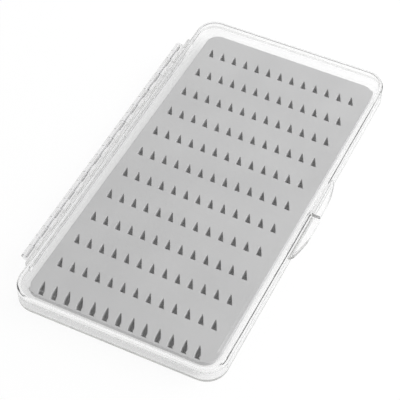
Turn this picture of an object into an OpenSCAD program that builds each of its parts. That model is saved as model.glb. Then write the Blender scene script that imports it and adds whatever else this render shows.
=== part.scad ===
// Slim clear fly box: a shallow moulded tray and lid on a long interlocking hinge,
// a grey mat with triangular slits for the hooks, and split thumb tabs on the opening side.
// Origin: centre of the flat underside. +X to the opening side, +Y along the case, +Z up.

/* [Case] */
// Width of the closed case across its walls, without hinge and tabs
case_w = 100; // [90:1:130]
// Length of the case across its walls
case_l = 195; // [170:1:230]
// Height of the closed case
case_h = 13.6; // [13:0.2:20]
// Height of the parting line between tray and lid
parting_z = 7.2; // [6.6:0.1:8]
// Corner radius in plan
corner_r = 10; // [8:0.5:16]
// Thickness of the side walls
wall = 1.6; // [1.4:0.1:2]
// Thickness of the tray floor
floor_t = 1.6; // [1.2:0.1:2]
// Thickness of the lid's flat top
top_t = 1.6; // [1.2:0.1:2]
// Radius of the lid's outer top edge
top_edge_r = 4.2; // [2.4:0.1:5]
// Radius of the lid's inner top edge
lid_edge_r = 2; // [0.5:0.1:3]
// Radius of the tray's outer bottom edge
bottom_edge_r = 2.2; // [1.4:0.1:3]
// Radius of the tray's inner bottom edge
floor_edge_r = 1; // [0.6:0.1:2]

/* [Rim] */
// Gap between the two rims when the case is shut
rim_gap = 0.2; // [0.1:0.05:0.4]
// Height of the tray's upright rim tongue
tongue_h = 1.2; // [0.8:0.1:1.8]
// Thickness of the rim tongue
tongue_t = 0.7; // [0.5:0.05:0.8]
// Gap between the tongue and the lid's rebate
tongue_clear = 0.25; // [0.15:0.05:0.35]

/* [Hinge] */
// Distance of the hinge axis from the wall
hinge_reach = 4.2; // [3.8:0.1:6]
// Distance from each end of the case to the hinge
hinge_inset = 21.25; // [16:0.25:40]
// Wanted length of one knuckle, with its gap
knuckle_pitch = 6.1; // [5:0.1:10]
// Gap between neighbouring knuckles
knuckle_gap = 0.35; // [0.25:0.05:0.6]
// Outer radius of the knuckles
knuckle_r = 2.1; // [1.8:0.1:2.4]
// Diameter of the hinge wire
pin_d = 1.2; // [0.9:0.1:1.5]
// Radial clearance of the wire in the knuckles
pin_clear = 0.05; // [0.02:0.01:0.08]
// Plastic left in front of the wire's blind end
pin_stop = 1.2; // [0.8:0.1:2]
// Thickness of the webs that carry the knuckles
web_t = 1.6; // [1.2:0.1:1.8]
// Gap between a knuckle and the ledge of the other half
swing_clear = 0.3; // [0.25:0.05:0.5]
// Length by which the ledges run on past the knuckles
ledge_run = 5; // [2:0.5:8]
// Length of the moulding window in each knuckle
window_l = 4.4; // [3:0.1:4.6]
// Width of the moulding window
window_w = 0.8; // [0.6:0.05:0.9]

/* [Thumb tabs] */
// How far the tabs stand out from the wall
tab_reach = 4.9; // [3.5:0.1:7]
// Half of the tabs' length
tab_half = 27; // [20:0.5:35]
// Radius of the tabs' long outer arc
tab_arc_r = 90; // [60:1:140]
// Radius of the tabs' ends
tab_end_r = 8; // [6:0.5:12]
// Thickness of each tab
tab_t = 2; // [1:0.1:3]
// Place of the split between the two tabs along the case
tab_split_y = 1.2; // [-5:0.1:5]
// Gap between the two tabs
tab_gap = 0.4; // [0.3:0.05:0.8]
// Radius of the hollow blend between tab and wall
tab_blend_r = 1; // [0.5:0.1:1.4]
// Radius of the tabs' rounded rims
tab_edge_r = 0.95; // [0.3:0.05:1.2]

/* [Catch] */
// Length of the snap bead
catch_l = 24; // [12:1:40]
// Place of the bead's middle along the case
catch_y = -12; // [-30:1:30]
// Height of the bead over the tongue
catch_out = 0.3; // [0.2:0.05:0.4]
// Gap between the bead and its groove
catch_clear = 0.15; // [0.1:0.05:0.25]

/* [Mat] */
// Free margin between the mat and the long walls
mat_side_gap = 3.8; // [2:0.1:6]
// Free margin between the mat and the front wall
mat_front_gap = 4.5; // [1.4:0.1:6]
// Free margin between the mat and the back wall
mat_back_gap = 4.2; // [2:0.1:6]
// Thickness of the mat
mat_t = 4.2; // [3:0.1:4.8]
// Corner radius of the mat
mat_corner_r = 6; // [3:0.5:10]
// How far the mat was glued askew in the tray, in degrees
mat_turn = -0.6; // [-0.8:0.1:0.8]
// Thickness of the adhesive film under the mat
film_t = 0.2; // [0.1:0.05:0.3]
// Inset of the film from the mat's edge
film_inset = 1.5; // [0.5:0.5:4]

/* [Slots] */
// Distance between slots across the case
slot_pitch_x = 6.3; // [5:0.1:9]
// Distance between rows of slots
slot_pitch_y = 15; // [10:0.5:20]
// Least distance from the mat's long edges to a slot's centre
slot_side_margin = 6; // [5:0.1:9]
// Least distance from the mat's short edges to a slot's centre
slot_end_margin = 8.5; // [7:0.5:12]
// Offset of the whole pattern across the mat
slot_shift_x = -0.4; // [-1.5:0.1:1.5]
// Offset of the whole pattern along the mat
slot_shift_y = -4.8; // [-6:0.1:6]
// Width of a slot at its base
slot_w = 3; // [2:0.1:4]
// Length of a slot from base to tip
slot_l = 5; // [4:0.1:7]
// Width of a slot at its blunt tip
slot_tip = 0.6; // [0.2:0.1:1]
// Depth of a slot
slot_depth = 3.4; // [2:0.1:3.8]

/* [Hidden] */

over = 1;
fine = 64;
clear_plastic = [0.93, 0.95, 0.96, 0.45];
lid_plastic = [0.96, 0.97, 0.98, 0.35];
mat_grey = [0.73, 0.73, 0.73];
film_white = [0.9, 0.9, 0.86];
steel = [0.7, 0.7, 0.72];

// Tray and lid: heights of the rims, and the cavities inside the walls
base_rim_z = parting_z - rim_gap / 2;
lid_rim_z = parting_z + rim_gap / 2;
inner_w = case_w - 2 * wall;
inner_l = case_l - 2 * wall;
inner_r = corner_r - wall;
lid_inner_h = case_h - top_t - lid_rim_z;
tongue_top = base_rim_z + tongue_h;
rebate_in = wall - tongue_t - tongue_clear;
rebate_top = tongue_top + rim_gap;

// Hinge: an odd number of knuckles fills the length, so both ends belong to the tray
hinge_l = case_l - 2 * hinge_inset;
knuckles = 2 * floor((hinge_l / knuckle_pitch - 1) / 2 + 0.01) + 1;
knuckle_step = hinge_l / knuckles;
axis_x = -case_w / 2 - hinge_reach;
axis_z = parting_z;
bore_r = pin_d / 2 + pin_clear;
web_drop = knuckle_r - web_t;
ledge_reach = hinge_reach - knuckle_r - swing_clear;
ledge_l = hinge_l + 2 * ledge_run;
ledge_end_r = min(ledge_reach, ledge_run) * 0.9;
window_run = min(window_l, knuckle_step - knuckle_gap - 1);

// Thumb tabs: each end arc is pushed out from where it would touch the long arc, so the two cross
arc_x = case_w / 2 + tab_reach - tab_arc_r;
end_y = tab_half - tab_end_r;
end_push = 0.3;
end_x = arc_x + sqrt(pow(tab_arc_r - tab_end_r, 2) - end_y * end_y) + end_push;
rim_r = min(tab_edge_r, tab_t * 0.475);

// The blend ends before its toe would run out under the rounded rim of an end arc
toe_clear = 0.4;
toe_x = case_w / 2 + tab_blend_r + toe_clear - end_x;
blend_end = end_y + sqrt(max(0, pow(tab_end_r - rim_r, 2) - toe_x * toe_x));

// Snap bead on the tongue, and its groove in the lid
bead_z = base_rim_z + tongue_h * 0.55;
bead_r = 0.45;
bead_sink = bead_r - catch_out;
tongue_x = case_w / 2 - wall + tongue_t;

// Mat and its slots
mat_w = inner_w - 2 * mat_side_gap;
mat_l = inner_l - mat_front_gap - mat_back_gap;
mat_y = (mat_front_gap - mat_back_gap) / 2;
mat_z = floor_t + film_t;
mat_top = mat_z + mat_t;
slot_cols = floor((mat_w - 2 * slot_side_margin) / slot_pitch_x) + 1;
slot_rows = floor((mat_l - 2 * slot_end_margin) / slot_pitch_y) + 1;
slot_round = 0.3;

// Half section of a pan's edge: x runs out from the corner centre, y runs up
module edge_section(r, h, f) {
    difference() {
        square([r, h]);
        difference() {
            translate([r - f, -over]) square([f + over, f + over]);
            translate([r - f, f]) circle(r = f, $fn = fine);
        }
    }
}

// Solid with rounded corners in plan and a rounded bottom edge, standing on z = 0
module pan(w, l, r, h, f) {
    mid_x = w / 2 - r;
    mid_y = l / 2 - r;
    translate([-mid_x, -mid_y, 0]) cube([2 * mid_x, 2 * mid_y, h]);
    for (turn = [0, 180]) rotate([0, 0, turn]) {
        translate([mid_x, mid_y, 0]) rotate([90, 0, 0]) linear_extrude(2 * mid_y) edge_section(r, h, f);
        translate([-mid_x, mid_y, 0]) rotate([90, 0, 90]) linear_extrude(2 * mid_x) edge_section(r, h, f);
        translate([mid_x, mid_y, 0]) rotate_extrude(angle = 90, $fn = fine) edge_section(r, h, f);
        translate([-mid_x, mid_y, 0]) rotate([0, 0, 90]) rotate_extrude(angle = 90, $fn = fine)
            edge_section(r, h, f);
    }
}

// Flat outline with rounded corners
module rounded(w, l, r) {
    square([w - 2 * r, l], center = true);
    square([w, l - 2 * r], center = true);
    for (x = [-1, 1], y = [-1, 1]) {
        translate([x * (w / 2 - r), y * (l / 2 - r)]) circle(r = r, $fn = fine);
    }
}

// Plate with rounded corners between two heights
module plate(w, l, r, z0, z1) {
    translate([0, 0, z0]) linear_extrude(z1 - z0) rounded(w, l, r);
}

// Cylinder along the hinge axis between two places on it
module axle(r, y0, y1) {
    translate([axis_x, y0, axis_z]) rotate([-90, 0, 0]) cylinder(r = r, h = y1 - y0, $fn = fine);
}

// Long ledge beside the wall that carries the webs, with rounded ends in plan
module ledge(z0, z1) {
    translate([-case_w / 2 + wall / 2, 0, z0]) linear_extrude(z1 - z0) intersection() {
        translate([-ledge_reach - wall / 2, -ledge_l / 2]) square([ledge_reach + wall / 2, ledge_l]);
        rounded(2 * (ledge_reach + wall / 2), ledge_l, ledge_end_r);
    }
}

// Knuckles first, first + 2, ... of one half: side -1 hangs them below the axis, +1 above it
module knuckle_row(first, side) {
    web_mid = axis_z + side * (web_drop + web_t / 2);
    for (k = [first : 2 : knuckles - 1]) {
        y0 = -hinge_l / 2 + k * knuckle_step + knuckle_gap / 2;
        y1 = -hinge_l / 2 + (k + 1) * knuckle_step - knuckle_gap / 2;
        axle(knuckle_r, y0, y1);
        translate([axis_x, y0, web_mid - web_t / 2]) cube([hinge_reach + wall / 2, y1 - y0, web_t]);
    }
}

// Windows that open each knuckle's bore on the side away from its web
module knuckle_windows(first, side) {
    z0 = side > 0 ? axis_z - knuckle_r - over : axis_z;
    for (k = [first : 2 : knuckles - 1]) {
        y_mid = -hinge_l / 2 + (k + 0.5) * knuckle_step;
        translate([axis_x - window_w / 2, y_mid - window_run / 2, z0])
            cube([window_w, window_run, knuckle_r + over]);
    }
}

// Disc as thick as a tab, with both edges of its rim rounded
module tab_disc(r, facets) {
    rotate_extrude($fn = facets) intersection() {
        edge_section(r, tab_t, rim_r);
        translate([0, tab_t]) mirror([0, 1]) edge_section(r, tab_t, rim_r);
    }
}

// Plate of both thumb tabs together: a long arc, cut at each end by a small one
module tab_plate() {
    intersection() {
        translate([arc_x, 0, 0]) tab_disc(tab_arc_r, 8 * fine);
        union() {
            translate([end_x - over, -end_y, -over])
                cube([tab_end_r + 2 * over, 2 * end_y, tab_t + 2 * over]);
            for (side = [-1, 1]) translate([end_x, side * end_y, 0]) tab_disc(tab_end_r, 2 * fine);
        }
    }
}

// One tab between two places along the case, with a hollow blend to the wall: side +1 blends above it
module tab(y0, y1, z0, side) {
    foot = wall / 2 + tab_blend_r;
    rise = tab_t / 2 + tab_blend_r;
    blend_y0 = max(y0, -blend_end);
    blend_y1 = min(y1, blend_end);
    intersection() {
        translate([0, 0, z0]) tab_plate();
        translate([case_w / 2 - wall / 2, y0, z0 - over])
            cube([tab_reach + wall, y1 - y0, tab_t + 2 * over]);
    }
    translate([case_w / 2 - wall / 2, blend_y1, z0 + tab_t / 2]) rotate([90, 0, 0])
        linear_extrude(blend_y1 - blend_y0) mirror([0, side < 0 ? 1 : 0]) difference() {
            square([foot, rise]);
            translate([foot, rise]) circle(r = tab_blend_r, $fn = fine);
        }
}

// Bead along the tongue of the opening side, made larger by a gap for its groove
module snap_bead(grow) {
    translate([tongue_x - bead_sink, catch_y - catch_l / 2 - grow, bead_z]) rotate([-90, 0, 0])
        cylinder(r = bead_r + grow, h = catch_l + 2 * grow, $fn = fine);
}

// Tray: floor, walls, rim tongue, hinge knuckles, snap bead and the front thumb tab
module base_tray() {
    color(clear_plastic) difference() {
        union() {
            difference() {
                pan(case_w, case_l, corner_r, tongue_top, bottom_edge_r);
                translate([0, 0, floor_t]) pan(inner_w, inner_l, inner_r, case_h, floor_edge_r);
                difference() {
                    plate(case_w + over, case_l + over, corner_r, base_rim_z, tongue_top + over);
                    plate(inner_w + 2 * tongue_t, inner_l + 2 * tongue_t, inner_r + tongue_t,
                          base_rim_z - over, tongue_top + 2 * over);
                }
            }
            snap_bead(0);
            ledge(axis_z - web_drop - web_t, base_rim_z);
            knuckle_row(0, -1);
            tab(-tab_half, tab_split_y - tab_gap / 2, base_rim_z - tab_t, -1);
        }
        axle(bore_r, -hinge_l / 2 - over, hinge_l / 2 - knuckle_gap / 2 - pin_stop);
        knuckle_windows(0, -1);
    }
}

// Lid: flat top with a rounded edge, rebated rim, hinge knuckles, groove and the back thumb tab
module lid() {
    color(lid_plastic) difference() {
        union() {
            difference() {
                translate([0, 0, case_h]) mirror([0, 0, 1])
                    pan(case_w, case_l, corner_r, case_h - lid_rim_z, top_edge_r);
                translate([0, 0, case_h - top_t]) mirror([0, 0, 1])
                    pan(inner_w, inner_l, inner_r, case_h, lid_edge_r);
            }
            ledge(lid_rim_z, axis_z + web_drop + web_t);
            knuckle_row(1, 1);
            tab(tab_split_y + tab_gap / 2, tab_half, lid_rim_z, 1);
        }
        plate(case_w - 2 * rebate_in, case_l - 2 * rebate_in, corner_r - rebate_in,
              lid_rim_z - over, rebate_top);
        snap_bead(catch_clear);
        axle(bore_r, -hinge_l / 2 - over, hinge_l / 2 + over);
        knuckle_windows(1, 1);
    }
}

// Plan of one slot about its centre: base to the front, tip to the back, upright side on the left
module slot_plan() {
    x0 = -slot_w * 0.4;
    x1 = slot_w * 0.6;
    y0 = -slot_l * 0.4;
    y1 = slot_l * 0.6;
    translate([x0 + slot_round, y0 + slot_round]) circle(r = slot_round, $fn = 32);
    polygon([[x0 + slot_round, y0], [x1, y0], [x0 + slot_tip, y1], [x0, y1], [x0, y0 + slot_round]]);
}

// Mat with its rows of slots
module slot_mat() {
    color(mat_grey) rotate([0, 0, mat_turn]) translate([0, mat_y, 0]) difference() {
        plate(mat_w, mat_l, mat_corner_r, mat_z, mat_top);
        for (i = [0 : slot_cols - 1], j = [0 : slot_rows - 1]) {
            x = slot_shift_x + (i - (slot_cols - 1) / 2) * slot_pitch_x;
            y = slot_shift_y + (j - (slot_rows - 1) / 2) * slot_pitch_y;
            translate([x, y, mat_top - slot_depth]) linear_extrude(slot_depth + over) slot_plan();
        }
    }
}

// Double-sided adhesive film that holds the mat to the floor
module mat_film() {
    color(film_white) rotate([0, 0, mat_turn]) translate([0, mat_y, 0])
        plate(mat_w - 2 * film_inset, mat_l - 2 * film_inset, mat_corner_r - film_inset, floor_t, mat_z);
}

// Wire that runs through every knuckle, flush with the open end of the hinge
module hinge_pin() {
    color(steel) axle(pin_d / 2, -hinge_l / 2 + knuckle_gap / 2, hinge_l / 2 - knuckle_gap / 2 - pin_stop);
}

base_tray();
lid();
slot_mat();
mat_film();
hinge_pin();
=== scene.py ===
"""Looks of a slim clear fly box with a grey slotted mat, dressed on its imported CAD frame.

Lengths in the classes are millimetres, or metres where a name ends in _m. The meshes are in metres, in
the frame's own axes: X to the opening side, Y along the case, Z up, the rest face at Z = 0.
"""

import logging
from dataclasses import dataclass
from enum import Enum

import bmesh
import bpy
import numpy as np
from mathutils import Matrix

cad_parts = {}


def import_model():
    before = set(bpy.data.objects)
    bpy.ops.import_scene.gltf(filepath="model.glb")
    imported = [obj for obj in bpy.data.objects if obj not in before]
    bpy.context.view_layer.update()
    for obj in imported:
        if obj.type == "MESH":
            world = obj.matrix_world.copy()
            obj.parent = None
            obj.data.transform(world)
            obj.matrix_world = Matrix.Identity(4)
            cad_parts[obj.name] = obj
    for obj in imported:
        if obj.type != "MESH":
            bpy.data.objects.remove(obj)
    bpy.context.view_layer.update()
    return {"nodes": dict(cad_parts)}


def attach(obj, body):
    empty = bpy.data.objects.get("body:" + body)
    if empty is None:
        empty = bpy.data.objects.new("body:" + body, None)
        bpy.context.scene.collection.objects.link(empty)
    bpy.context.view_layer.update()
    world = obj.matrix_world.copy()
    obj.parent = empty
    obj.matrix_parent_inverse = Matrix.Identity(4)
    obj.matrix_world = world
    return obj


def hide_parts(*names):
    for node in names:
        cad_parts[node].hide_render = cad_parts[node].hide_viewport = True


MM = 0.001
# The point attribute that says where shade is painted down the slots.
SLOT_SHADE_MASK = "slot_shade_mask"
CREASE_DEG = 40.0
SEAM_M = 1e-7
Triple = tuple[float, float, float]
Rgb = Triple

logging.basicConfig(level=logging.INFO, format="%(message)s")
log = logging.getLogger("fly_box")


class Body(Enum):
    """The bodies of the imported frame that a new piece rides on."""

    TRAY = "tray"


class Node(Enum):
    """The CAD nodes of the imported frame."""

    BASE_TRAY = "base_tray"
    LID = "lid"
    SLOT_MAT = "slot_mat"
    MAT_FILM = "mat_film"
    HINGE_PIN = "hinge_pin"


class Graph:
    """Adds and joins the nodes of one node tree."""

    def __init__(self, tree: bpy.types.NodeTree) -> None:
        """Empties the tree.

        Args:
            tree: The node tree to fill.
        """
        self.tree = tree
        tree.nodes.clear()

    @classmethod
    def of_material(cls, name: str) -> tuple[bpy.types.Material, "Graph"]:
        """Makes a new material.

        Args:
            name: The material's name.

        Returns:
            The material and the graph of its nodes.
        """
        material = bpy.data.materials.new(name)
        material.use_nodes = True
        return material, cls(material.node_tree)

    def add(self, kind: str, inputs: dict | None = None, **settings: object) -> bpy.types.Node:
        """Adds a node.

        Args:
            kind: The node's Blender type without its ShaderNode prefix.
            inputs: For each input, by name or number, its value or the socket that feeds it.
            **settings: Properties to set on the node.

        Returns:
            The new node.
        """
        node = self.tree.nodes.new("ShaderNode" + kind)
        for key, value in settings.items():
            setattr(node, key, value)
        for key, value in (inputs or {}).items():
            if isinstance(value, bpy.types.NodeSocket):
                self.tree.links.new(value, node.inputs[key])
            else:
                node.inputs[key].default_value = value
        return node

    def maths(self, operation: str, *values: object) -> bpy.types.NodeSocket:
        """Adds a Math node.

        Args:
            operation: The name of its operation.
            *values: Numbers or sockets for its inputs, in order.

        Returns:
            Its output socket.
        """
        return self.add("Math", dict(enumerate(values)), operation=operation).outputs[0]

    def stretched(self, at: bpy.types.NodeSocket, scale: Triple, angle: float = 0.0) -> bpy.types.NodeSocket:
        """Adds a Mapping node.

        Args:
            at: The coordinates it changes.
            scale: Its scale along X, Y and Z; less than 1 draws a pattern out.
            angle: Its turn about Z in radians.

        Returns:
            The changed coordinates.
        """
        inputs = {"Vector": at, "Rotation": (0, 0, angle), "Scale": scale}
        return self.add("Mapping", inputs).outputs[0]

    def noise(self, at: bpy.types.NodeSocket, size: float, detail: float) -> bpy.types.NodeSocket:
        """Adds a Noise Texture.

        Args:
            at: The coordinates it reads, in metres.
            size: The size of its spots in millimetres.
            detail: How many finer layers it has.

        Returns:
            Its grey output, about 0.5 on average.
        """
        node = self.add("TexNoise", {"Vector": at, "Scale": 1 / (size * MM), "Detail": detail})
        return node.outputs[0]

    def in_glass(self, path: bpy.types.Node) -> bpy.types.NodeSocket:
        """Tells the rays that gloss or glass has sent on from all others.

        Args:
            path: A Light Path node.

        Returns:
            1 for such a ray and 0 for the rest.
        """
        return self.maths("MAXIMUM", path.outputs["Is Glossy Ray"], path.outputs["Is Transmission Ray"])

    def between(self, value: bpy.types.NodeSocket, low: float, high: float,
                to_low: float, to_high: float) -> bpy.types.NodeSocket:
        """Adds a Map Range node that clamps.

        Args:
            value: The socket to map.
            low: The value that becomes to_low.
            high: The value that becomes to_high.
            to_low: The result at low.
            to_high: The result at high.

        Returns:
            Its output socket.
        """
        inputs = {0: value, 1: low, 2: high, 3: to_low, 4: to_high}
        return self.add("MapRange", inputs).outputs[0]

    def blend(self, factor: object, first: object, second: object) -> bpy.types.NodeSocket:
        """Adds a Mix node for colours.

        Args:
            factor: A number or socket, 0 for the first colour and 1 for the second.
            first: A colour or socket.
            second: A colour or socket.

        Returns:
            Its colour output.
        """
        node = self.add("Mix", data_type="RGBA")
        for socket, value in ((node.inputs[0], factor), (node.inputs[6], first), (node.inputs[7], second)):
            if isinstance(value, bpy.types.NodeSocket):
                self.tree.links.new(value, socket)
            else:
                socket.default_value = value if isinstance(value, float) else (*value, 1)
        return node.outputs[2]

    def bump(self, height: bpy.types.NodeSocket, depth: float) -> bpy.types.NodeSocket:
        """Adds a Bump node.

        Args:
            height: The socket of the height, 0 to 1.
            depth: What 1 stands for, in millimetres.

        Returns:
            Its normal output.
        """
        return self.add("Bump", {"Height": height, "Distance": depth * MM}).outputs[0]

    def finish(self, shader: bpy.types.Node | bpy.types.NodeSocket, kind: str = "OutputMaterial") -> None:
        """Joins the last shader to the tree's output.

        Args:
            shader: The shader node or its socket.
            kind: The type of the output node.
        """
        source = shader if isinstance(shader, bpy.types.NodeSocket) else shader.outputs[0]
        self.add(kind, {0: source})


@dataclass(frozen=True)
class ClearPlastic:
    """Crystal-clear moulded polystyrene with faint haze, handling marks and hairlines."""

    name: str
    tint: Rgb = (0.995, 0.995, 0.995)
    ior: float = 1.59
    smooth: float = 0.015
    hazy: float = 0.06
    mark_size: float = 16.0
    hair_size: float = 0.5
    hair_depth: float = 0.002
    hair_angle: float = 0.5
    hair_stretch: float = 0.04
    lamp_pass: Rgb = (0.94, 0.94, 0.94)
    absorbed: float = 4.0
    hinge_ior: float = 1.2
    hinge_from: float = -50.6
    hinge_to: float = -50.1

    def material(self) -> bpy.types.Material:
        """Builds the plastic.

        Lamps and diffuse light pass straight through it, as through thin clear walls. The hinge, which
        lies beyond hinge_from in X, bends light less, so that its wire shows through.

        Returns:
            The material.
        """
        material, g = Graph.of_material(self.name)
        at = g.add("TexCoord").outputs["Object"]
        drawn_out = g.stretched(at, (1, self.hair_stretch, 1), self.hair_angle)
        marks = g.between(g.noise(at, self.mark_size, 3), 0.5, 0.75, 0.0, 1.0)
        hairs = g.between(g.noise(drawn_out, self.hair_size, 1), 0.68, 0.76, 0.0, 1.0)
        rough = g.maths("ADD", g.maths("MULTIPLY", marks, self.hazy), self.smooth)
        side = g.add("SeparateXYZ", {0: at}).outputs["X"]
        ior = g.between(side, self.hinge_from * MM, self.hinge_to * MM, self.hinge_ior, self.ior)
        plastic = g.add("BsdfPrincipled", {
            "Base Color": (*self.tint, 1), "IOR": ior, "Transmission Weight": 1.0,
            "Roughness": rough, "Normal": g.bump(hairs, self.hair_depth)})
        path = g.add("LightPath")
        lit = g.maths("MAXIMUM", path.outputs["Is Shadow Ray"], path.outputs["Is Diffuse Ray"])
        through = g.add("BsdfTransparent", {"Color": (*self.lamp_pass, 1)})
        depths = g.add("VolumeAbsorption", {"Color": (0, 0, 0, 1), "Density": self.absorbed})
        seen = g.add("MixShader", {0: lit, 1: plastic.outputs[0], 2: through.outputs[0]})
        g.add("OutputMaterial", {"Surface": seen.outputs[0], "Volume": depths.outputs[0]})
        return material


@dataclass(frozen=True)
class Silicone:
    """Matt grey silicone rubber with a fine grain, a little dust, and painted shade that darkens it down its
    slots.
    """

    name: str
    grey: Rgb = (0.595, 0.595, 0.598)
    pale: Rgb = (0.635, 0.635, 0.637)
    dust: Rgb = (0.72, 0.72, 0.72)
    # Painted shade: the dark colour the rubber goes to down the slots, where shade falls.
    slot_shade_colour: Rgb = (0.18, 0.18, 0.182)
    roughness: float = 0.62
    specular: float = 0.3
    cloud_size: float = 30.0
    speck_size: float = 0.7
    grain_size: float = 0.35
    grain_depth: float = 0.02

    def material(self) -> bpy.types.Material:
        """Builds the rubber: noise shifts its grey, and painted shade darkens it down the slots.

        Returns:
            The material.
        """
        material, g = Graph.of_material(self.name)
        at = g.add("TexCoord").outputs["Object"]
        slot_shade_mask = g.add("Attribute", attribute_name=SLOT_SHADE_MASK).outputs["Fac"]
        clouds = g.between(g.noise(at, self.cloud_size, 2), 0.35, 0.65, 0.0, 1.0)
        specks = g.between(g.noise(at, self.speck_size, 0), 0.74, 0.8, 0.0, 0.6)
        grain = g.noise(at, self.grain_size, 3)
        colour = g.blend(clouds, self.grey, self.pale)
        colour = g.blend(specks, colour, self.dust)
        # Painted shade: the grey fades to the shade colour down each slot's wall and is full on its floor.
        colour = g.blend(slot_shade_mask, colour, self.slot_shade_colour)
        rubber = g.add("BsdfPrincipled", {
            "Base Color": colour, "Roughness": self.roughness, "Specular IOR Level": self.specular,
            "Normal": g.bump(grain, self.grain_depth)})
        g.finish(rubber)
        return material


@dataclass(frozen=True)
class AdhesiveFilm:
    """Off-white double-sided film with patches where the glue has wetted the tray."""

    name: str
    wet: Rgb = (0.56, 0.56, 0.55)
    dry: Rgb = (0.68, 0.68, 0.66)
    roughness: float = 0.5
    patch_size: float = 9.0
    ripple_size: float = 0.6
    ripple_depth: float = 0.01

    def material(self) -> bpy.types.Material:
        """Builds the film from two greys mottled by noise.

        Returns:
            The material.
        """
        material, g = Graph.of_material(self.name)
        at = g.add("TexCoord").outputs["Object"]
        patches = g.between(g.noise(at, self.patch_size, 4), 0.42, 0.6, 0.0, 1.0)
        ripples = g.noise(at, self.ripple_size, 2)
        film = g.add("BsdfPrincipled", {
            "Base Color": g.blend(patches, self.wet, self.dry), "Roughness": self.roughness,
            "Normal": g.bump(ripples, self.ripple_depth)})
        g.finish(film)
        return material


@dataclass(frozen=True)
class WireSteel:
    """Drawn steel wire with fine lines along it."""

    name: str
    bright: Rgb = (0.86, 0.86, 0.87)
    dull: Rgb = (0.66, 0.66, 0.67)
    line_size: float = 0.15
    line_depth: float = 0.005
    line_stretch: float = 0.03

    def material(self) -> bpy.types.Material:
        """Builds the steel from noise that is drawn out along the wire.

        Returns:
            The material.
        """
        material, g = Graph.of_material(self.name)
        at = g.add("TexCoord").outputs["Object"]
        lines = g.noise(g.stretched(at, (1, self.line_stretch, 1)), self.line_size, 2)
        steel = g.add("BsdfPrincipled", {
            "Base Color": g.blend(lines, self.dull, self.bright), "Metallic": 1.0,
            "Roughness": g.between(lines, 0.3, 0.7, 0.22, 0.4), "Normal": g.bump(lines, self.line_depth)})
        g.finish(steel)
        return material


def as_mesh(name: str, points: np.ndarray, faces: np.ndarray,
            slot_shade_mask: np.ndarray | None = None) -> bpy.types.Object:
    """Makes an object of a grid surface, closes its seams and poles and turns its faces outwards.

    Edges of more than CREASE_DEG degrees stay sharp.

    Args:
        name: The object's name.
        points: Corners in millimetres, N by 3.
        faces: Corner numbers of four-sided faces, M by 4.
        slot_shade_mask: How much painted shade each corner gets, 0 to 1, darkest deep in a slot, for the
            material to read.

    Returns:
        The object, linked to the scene.
    """
    mesh = bpy.data.meshes.new(name)
    mesh.from_pydata((points * MM).tolist(), [], faces.tolist())
    if slot_shade_mask is not None:
        mesh.attributes.new(SLOT_SHADE_MASK, "FLOAT", "POINT").data.foreach_set("value", slot_shade_mask.astype(np.float32))
    shape = bmesh.new()
    shape.from_mesh(mesh)
    bmesh.ops.remove_doubles(shape, verts=shape.verts, dist=SEAM_M)
    bmesh.ops.dissolve_degenerate(shape, edges=shape.edges, dist=SEAM_M)
    bmesh.ops.recalc_face_normals(shape, faces=shape.faces)
    shape.to_mesh(mesh)
    shape.free()
    mesh.shade_smooth()
    mesh.set_sharp_from_angle(angle=np.radians(CREASE_DEG))
    piece = bpy.data.objects.new(name, mesh)
    bpy.context.scene.collection.objects.link(piece)
    return piece


def ring_faces(tiles: int, rings: int, around: int) -> np.ndarray:
    """Four-sided faces between neighbouring rings of points.

    Face (t, v, u) joins points u and u + 1 of ring v with the same two of ring v + 1, and u wraps round.

    Args:
        tiles: How many separate stacks of rings there are.
        rings: Rings in a stack.
        around: Points on a ring.

    Returns:
        Corner numbers, M by 4, for points stored stack by stack and ring by ring.
    """
    number = np.arange(tiles * rings * around).reshape(tiles, rings, around)
    turned = np.roll(number, -1, axis=2)
    corners = (number[:, :-1], turned[:, :-1], turned[:, 1:], number[:, 1:])
    return np.stack(corners, axis=-1).reshape(-1, 4)


def rounded_outline(half_w: float, half_l: float, radius: float, along_x: np.ndarray,
                    along_y: np.ndarray, arc: int) -> np.ndarray:
    """Outline of a rounded rectangle, anticlockwise from the front left corner.

    Each side holds the given places along it, clipped to where its corners begin, and each corner is
    an arc: centre + radius * (cos a, sin a), for arc + 1 angles a over a quarter turn.

    Args:
        half_w: Half of its width.
        half_l: Half of its length.
        radius: Radius of the corners.
        along_x: Rising places on the front and back sides.
        along_y: Rising places on the left and right sides.
        arc: Steps in each corner.

    Returns:
        The points, N by 2.
    """
    cx, cy = half_w - radius, half_l - radius
    xs, ys = np.clip(along_x, -cx, cx), np.clip(along_y, -cy, cy)
    turn = np.linspace(0, np.pi / 2, arc + 1)

    def corner(x: float, y: float, start: float) -> np.ndarray:
        """One corner's arc about its centre."""
        return np.stack([x + radius * np.cos(start + turn), y + radius * np.sin(start + turn)], axis=1)

    def side(x: np.ndarray, y: np.ndarray) -> np.ndarray:
        """One straight side's points."""
        return np.stack(np.broadcast_arrays(x, y), axis=1)

    return np.concatenate([
        side(xs, -half_l), corner(cx, -cy, -np.pi / 2),
        side(half_w, ys), corner(cx, cy, 0),
        side(xs[::-1], half_l), corner(-cx, cy, np.pi / 2),
        side(-half_w, ys[::-1]), corner(-cx, -cy, np.pi)])


def lifted(rings: list[tuple[np.ndarray, float]]) -> np.ndarray:
    """Stacks flat rings at their heights.

    Args:
        rings: Each ring's points, N by 2, and its height.

    Returns:
        Points, rings by N by 3.
    """
    return np.stack([np.column_stack([xy, np.full(len(xy), z)]) for xy, z in rings])


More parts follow.
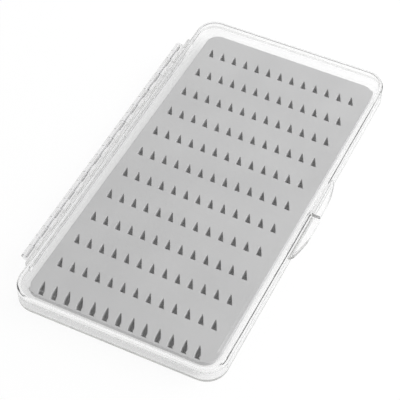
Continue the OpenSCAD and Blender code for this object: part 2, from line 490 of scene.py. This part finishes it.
@dataclass
class SlotMat:
    """The silicone mat with its rows of triangular slots, as one closed surface."""

    width: float = 89.2
    length: float = 183.1
    middle: tuple[float, float] = (0.0, 0.15)
    bottom: float = 1.8
    top: float = 6.0
    corner_r: float = 6.0
    turn: float = -0.6
    pitch_x: float = 6.3
    pitch_y: float = 15.0
    cols: int = 13
    rows: int = 12
    shift_x: float = -0.4
    shift_y: float = -4.8
    slot_w: float = 3.0
    slot_l: float = 5.0
    slot_depth: float = 3.4
    slot_round: float = 0.3
    slot_tip: float = 0.6
    lip: float = 0.16
    lip_curve: float = 0.3
    foot: float = 0.3
    foot_share: float = 0.93
    edge_r: float = 0.25
    tile_front: float = 3.6
    wall_ring: int = 5
    steps_x: int = 5
    steps_y: int = 7
    arc: int = 8

    def slot_outline(self, grow: float) -> np.ndarray:
        """Outline of a slot about its centre, pushed out by grow along its sides.

        The base runs from the rounded left corner to the right one, the long side from there to the
        tip, a tiny step turns round the tip, and the upright side runs back. Each point is a corner
        plus the share t of the way to the next corner.

        Args:
            grow: How far the sides lie outside the slot's own.

        Returns:
            Its points, two times steps_x plus steps_y of them, by 2.
        """
        x0, x1 = -0.4 * self.slot_w, 0.6 * self.slot_w
        y0, y1 = -0.4 * self.slot_l, 0.6 * self.slot_l
        slope = np.arctan2(self.slot_w - self.slot_tip, self.slot_l)
        base_push = grow / np.tan((np.pi / 2 - slope) / 2)
        r = self.slot_round
        front_left = np.array([x0 - grow + r, y0 - grow])
        front_right = np.array([x1 + base_push, y0 - grow])
        tip = np.array([x0 - grow, y1 + grow])
        left_foot = np.array([x0 - grow, y0 - grow + r])
        blunt = np.array([self.slot_tip, 0])

        def run(start: np.ndarray, end: np.ndarray, steps: int) -> np.ndarray:
            """The first steps points of a straight run from start to end."""
            t = np.arange(steps)[:, None] / steps
            return start + t * (end - start)

        return np.concatenate([
            run(front_left, front_right, self.steps_x),
            run(front_right, tip + blunt, self.steps_y),
            run(tip + blunt, tip, self.steps_x),
            run(tip, left_foot, self.steps_y)])

    def tile_outline(self) -> np.ndarray:
        """Outline of one slot's tile of the top, with as many points as slot_outline gives.

        Returns:
            Its points, anticlockwise from the front left corner.
        """
        x0, x1 = -self.pitch_x / 2, self.pitch_x / 2
        y0, y1 = -self.tile_front, self.pitch_y - self.tile_front
        u, v = np.arange(self.steps_x) / self.steps_x, np.arange(self.steps_y) / self.steps_y
        sides = [
            (x0 + u * (x1 - x0), np.full(self.steps_x, y0)),
            (np.full(self.steps_y, x1), y0 + v * (y1 - y0)),
            (x1 + u * (x0 - x1), np.full(self.steps_x, y1)),
            (np.full(self.steps_y, x0), y1 + v * (y0 - y1))]
        return np.concatenate([np.stack(s, axis=1) for s in sides])

    def tiles(self) -> np.ndarray:
        """Points of every tile: rings from its edge over the slot's lip, down its wall and in on its floor.

        Returns:
            Points, tiles by rings by around by 3.
        """
        lip, curve, floor = self.lip, self.lip_curve * self.lip, self.top - self.slot_depth
        inside = self.slot_outline(0.0)
        middle = np.broadcast_to(inside.mean(axis=0), inside.shape)
        foot = self.foot_share * inside + (1 - self.foot_share) * middle
        one = lifted([
            (self.tile_outline(), self.top), (self.slot_outline(2 * lip), self.top),
            (self.slot_outline(lip), self.top), (self.slot_outline(curve), self.top - curve),
            (inside, self.top - lip), (inside, floor + self.foot), (foot, floor), (middle, floor)])
        i, j = np.meshgrid(np.arange(self.cols), np.arange(self.rows), indexing="ij")
        shift = np.zeros((i.size, 3))
        shift[:, 0] = self.shift_x + (i.ravel() - (self.cols - 1) / 2) * self.pitch_x
        shift[:, 1] = self.shift_y + (j.ravel() - (self.rows - 1) / 2) * self.pitch_y
        return one[None] + shift[:, None, None]

    def rim(self) -> np.ndarray:
        """Points of the rest: rings from the tiles' outer edge to the mat's edge, down and in below.

        Returns:
            Points, 1 by rings by around by 3.
        """
        x0 = self.shift_x - self.cols * self.pitch_x / 2
        y0 = self.shift_y - (self.rows - 1) * self.pitch_y / 2 - self.tile_front
        xs = x0 + np.arange(self.cols * self.steps_x + 1) * self.pitch_x / self.steps_x
        ys = y0 + np.arange(self.rows * self.steps_y + 1) * self.pitch_y / self.steps_y
        extra = self.arc + 1
        inner = np.concatenate([
            np.column_stack([xs, np.full(len(xs), ys[0])]), np.tile([xs[-1], ys[0]], (extra, 1)),
            np.column_stack([np.full(len(ys), xs[-1]), ys]), np.tile([xs[-1], ys[-1]], (extra, 1)),
            np.column_stack([xs[::-1], np.full(len(xs), ys[-1])]), np.tile([xs[0], ys[-1]], (extra, 1)),
            np.column_stack([np.full(len(ys), xs[0]), ys[::-1]]), np.tile([xs[0], ys[0]], (extra, 1))])

        def edge(inset: float) -> np.ndarray:
            """The mat's outline, drawn in by inset."""
            return rounded_outline(self.width / 2 - inset, self.length / 2 - inset,
                                   self.corner_r - inset, xs, ys, self.arc)

        r, curve = self.edge_r, self.lip_curve * self.edge_r
        return lifted([
            (inner, self.top), (edge(2 * r), self.top), (edge(r), self.top),
            (edge(curve), self.top - curve), (edge(0), self.top - r),
            (edge(0), self.bottom), (np.zeros_like(inner), self.bottom)])[None]

    def build(self, finish: Silicone) -> None:
        """Builds the mat, turned by its small angle, and puts it in the tray.

        Args:
            finish: What it is made of.
        """
        tiles, rim = self.tiles(), self.rim()
        faces = ring_faces(*tiles.shape[:3])
        rim_faces = ring_faces(*rim.shape[:3]) + tiles[..., 0].size
        points = np.concatenate([tiles.reshape(-1, 3), rim.reshape(-1, 3)])
        # Painted shade: none on the top and lip, full from the foot of each slot wall down to its floor,
        # fading between.
        slot_shade_mask = np.zeros(tiles.shape[:3])
        slot_shade_mask[:, self.wall_ring:] = 1
        slot_shade_mask = np.concatenate([slot_shade_mask.ravel(), np.zeros(rim[..., 0].size)])
        placed = put_in_tray(points, self.middle, self.turn)
        mat = as_mesh("silicone_mat", placed, np.concatenate([faces, rim_faces]), slot_shade_mask)
        dress(mat, finish.material(), Body.TRAY)
        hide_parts(Node.SLOT_MAT.value)


def put_in_tray(points: np.ndarray, middle: tuple[float, float], degrees: float) -> np.ndarray:
    """Points shifted off the tray's middle and then turned about its Z axis.

    Args:
        points: N by 3.
        middle: The shift in X and Y.
        degrees: The angle, anticlockwise from above.

    Returns:
        The placed points.
    """
    a = np.radians(degrees)
    spin = np.array([[np.cos(a), -np.sin(a), 0], [np.sin(a), np.cos(a), 0], [0, 0, 1]])
    return (points + np.array([*middle, 0])) @ spin.T


@dataclass
class MatFilm:
    """The adhesive film between mat and tray."""

    width: float = 86.2
    length: float = 180.1
    middle: tuple[float, float] = (0.0, 0.15)
    bottom: float = 1.58
    top: float = 1.79
    corner_r: float = 4.5
    turn: float = -0.6
    steps: int = 20
    arc: int = 8

    def build(self, finish: AdhesiveFilm) -> None:
        """Builds the film: an outline carried up one step, closed to a point below and above.

        Args:
            finish: What it is made of.
        """
        sides = np.linspace(-self.length / 2, self.length / 2, self.steps)
        outline = rounded_outline(self.width / 2, self.length / 2, self.corner_r, sides, sides, self.arc)
        middle = np.zeros_like(outline)
        points = lifted([
            (middle, self.bottom), (outline, self.bottom), (outline, self.top), (middle, self.top)])
        placed = put_in_tray(points.reshape(-1, 3), self.middle, self.turn)
        film = as_mesh("glue_film", placed, ring_faces(1, *points.shape[:2]))
        dress(film, finish.material(), Body.TRAY)
        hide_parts(Node.MAT_FILM.value)


def dress(piece: bpy.types.Object, material: bpy.types.Material, body: Body) -> None:
    """Gives a new piece its material and its body, and reports it.

    Args:
        piece: The piece.
        material: Its only material.
        body: The body that it rides on.
    """
    piece.data.materials.clear()
    piece.data.materials.append(material)
    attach(piece, body.value)
    log.info("%s rides on %s, %d faces", piece.name, body.value, len(piece.data.polygons))


@dataclass
class CarriedParts:
    """The CAD solids that show as they are, in better materials."""

    nodes: dict[str, bpy.types.Object]

    def repaint(self, node: Node, material: bpy.types.Material) -> None:
        """Puts a material in each of a node's slots.

        Args:
            node: The CAD node.
            material: Its new material.
        """
        part = self.nodes[node.value]
        if not part.data.materials:
            part.data.materials.append(material)
        for i in range(len(part.data.materials)):
            part.data.materials[i] = material
        log.info("%s keeps its CAD shape in %s", node.value, material.name)


@dataclass(frozen=True)
class PhotoCamera:
    """The camera, fitted to the slots and the outline in the photograph."""

    place: Triple = (185.14, -395.44, 494.76)
    right: Triple = (0.89887545, 0.4381898, 0.00355357)
    down: Triple = (0.33216436, -0.67604733, -0.65774376)
    ahead: Triple = (-0.28581423, 0.59241008, -0.75323338)
    lens: float = 127.58
    sensor: float = 36.0
    near: float = 10.0

    def build(self) -> None:
        """Makes the camera and hands it to the scene."""
        data = bpy.data.cameras.new("photo_camera")
        data.lens = self.lens
        data.sensor_width = self.sensor
        data.clip_start = self.near * MM
        camera = bpy.data.objects.new("photo_camera", data)
        axes = Matrix((self.right, [-d for d in self.down], [-a for a in self.ahead])).transposed()
        camera.matrix_world = Matrix.Translation([p * MM for p in self.place]) @ axes.to_4x4()
        bpy.context.scene.collection.objects.link(camera)
        bpy.context.scene.camera = camera


@dataclass
class Studio:
    """White table and backdrop, a soft sky of light and one large soft lamp."""

    floor_half_m: float = 3.0
    floor_z_m: float = -0.0003
    floor_grey: float = 0.11
    floor_lift: float = 0.905
    grey_in_glass: float = 0.62
    lift_in_glass: float = 0.44
    sky_light: float = 0.45
    far_side: float = 0.3
    near_side: float = 1.0
    far_range: tuple[float, float] = (0.5, 0.8)
    low_range: tuple[float, float] = (0.5, 0.7)
    lamp_power: float = 16.5
    lamp_size_m: float = 1.0
    lamp_place_m: Triple = (0.75, 0.75, 0.62)
    wall_bounces: int = 24

    def build(self) -> None:
        """Builds the floor, the sky and the lamp, and sets the light paths and the view."""
        self.floor()
        self.world()
        self.lamp()
        self.light_paths()
        bpy.context.scene.view_settings.view_transform = "Standard"

    def floor(self) -> None:
        """A wide plain plate whose diffuse part keeps the shadow and whose glow lifts it to white.

        Seen through the clear walls it glows less and its shadows are deeper.
        """
        h = self.floor_half_m / MM
        z = self.floor_z_m / MM
        points = np.array([[-h, -h, z], [h, -h, z], [h, h, z], [-h, h, z]])
        plate = as_mesh("studio_floor", points, np.array([[0, 1, 2, 3]]))
        material, g = Graph.of_material("studio_white")
        path = g.add("LightPath")
        in_glass = g.in_glass(path)
        grey = g.between(in_glass, 0.0, 1.0, self.floor_grey, self.grey_in_glass)
        lift = g.between(in_glass, 0.0, 1.0, self.floor_lift, self.lift_in_glass)
        paint = g.add("BsdfDiffuse", {"Color": grey})
        glow = g.add("Emission", {"Color": (1, 1, 1, 1), "Strength": lift})
        g.finish(g.add("AddShader", {0: paint.outputs[0], 1: glow.outputs[0]}))
        plate.data.materials.append(material)

    def world(self) -> None:
        """A white sky to the eye, dimmer on rough surfaces.

        In gloss and glass it is bright, but for a grey part low down behind the case.
        """
        world = bpy.data.worlds.new("studio_sky")
        bpy.context.scene.world = world
        world.use_nodes = True
        g = Graph(world.node_tree)
        path = g.add("LightPath")
        look = g.add("SeparateXYZ", {0: g.add("TexCoord").outputs["Generated"]})
        low = g.between(look.outputs["Y"], *self.far_range, self.near_side, self.far_side)
        around = g.between(look.outputs["Z"], *self.low_range, low, 1.0)
        in_glass = g.in_glass(path)
        sky = g.between(in_glass, 0.0, 1.0, self.sky_light, around)
        strength = g.between(path.outputs["Is Camera Ray"], 0.0, 1.0, sky, 1.0)
        g.finish(g.add("Background", {"Color": (1, 1, 1, 1), "Strength": strength}), "OutputWorld")

    def light_paths(self) -> None:
        """Lets light bounce often enough inside the clear walls, which are dark where it stops early."""
        cycles = bpy.context.scene.cycles
        cycles.max_bounces = cycles.transmission_bounces = self.wall_bounces
        cycles.glossy_bounces = self.wall_bounces

    def lamp(self) -> None:
        """A large square lamp that points at the case and doesn't glare in it."""
        data = bpy.data.lights.new("soft_box", "AREA")
        data.size = self.lamp_size_m
        data.energy = self.lamp_power
        lamp = bpy.data.objects.new("soft_box", data)
        bpy.context.scene.collection.objects.link(lamp)
        lamp.visible_glossy = lamp.visible_transmission = False
        lamp.location = self.lamp_place_m
        lamp.rotation_euler = lamp.location.to_track_quat("Z", "Y").to_euler()


def main() -> None:
    """Dresses the frame piece by piece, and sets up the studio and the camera."""
    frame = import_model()
    parts = CarriedParts(frame["nodes"])
    parts.repaint(Node.BASE_TRAY, ClearPlastic("clear_tray_plastic").material())
    parts.repaint(Node.LID, ClearPlastic("clear_lid_plastic").material())
    parts.repaint(Node.HINGE_PIN, WireSteel("hinge_wire_steel").material())
    SlotMat().build(Silicone("grey_silicone"))
    MatFilm().build(AdhesiveFilm("adhesive_film"))
    Studio().build()
    PhotoCamera().build()


if __name__ == "__main__":
    main()
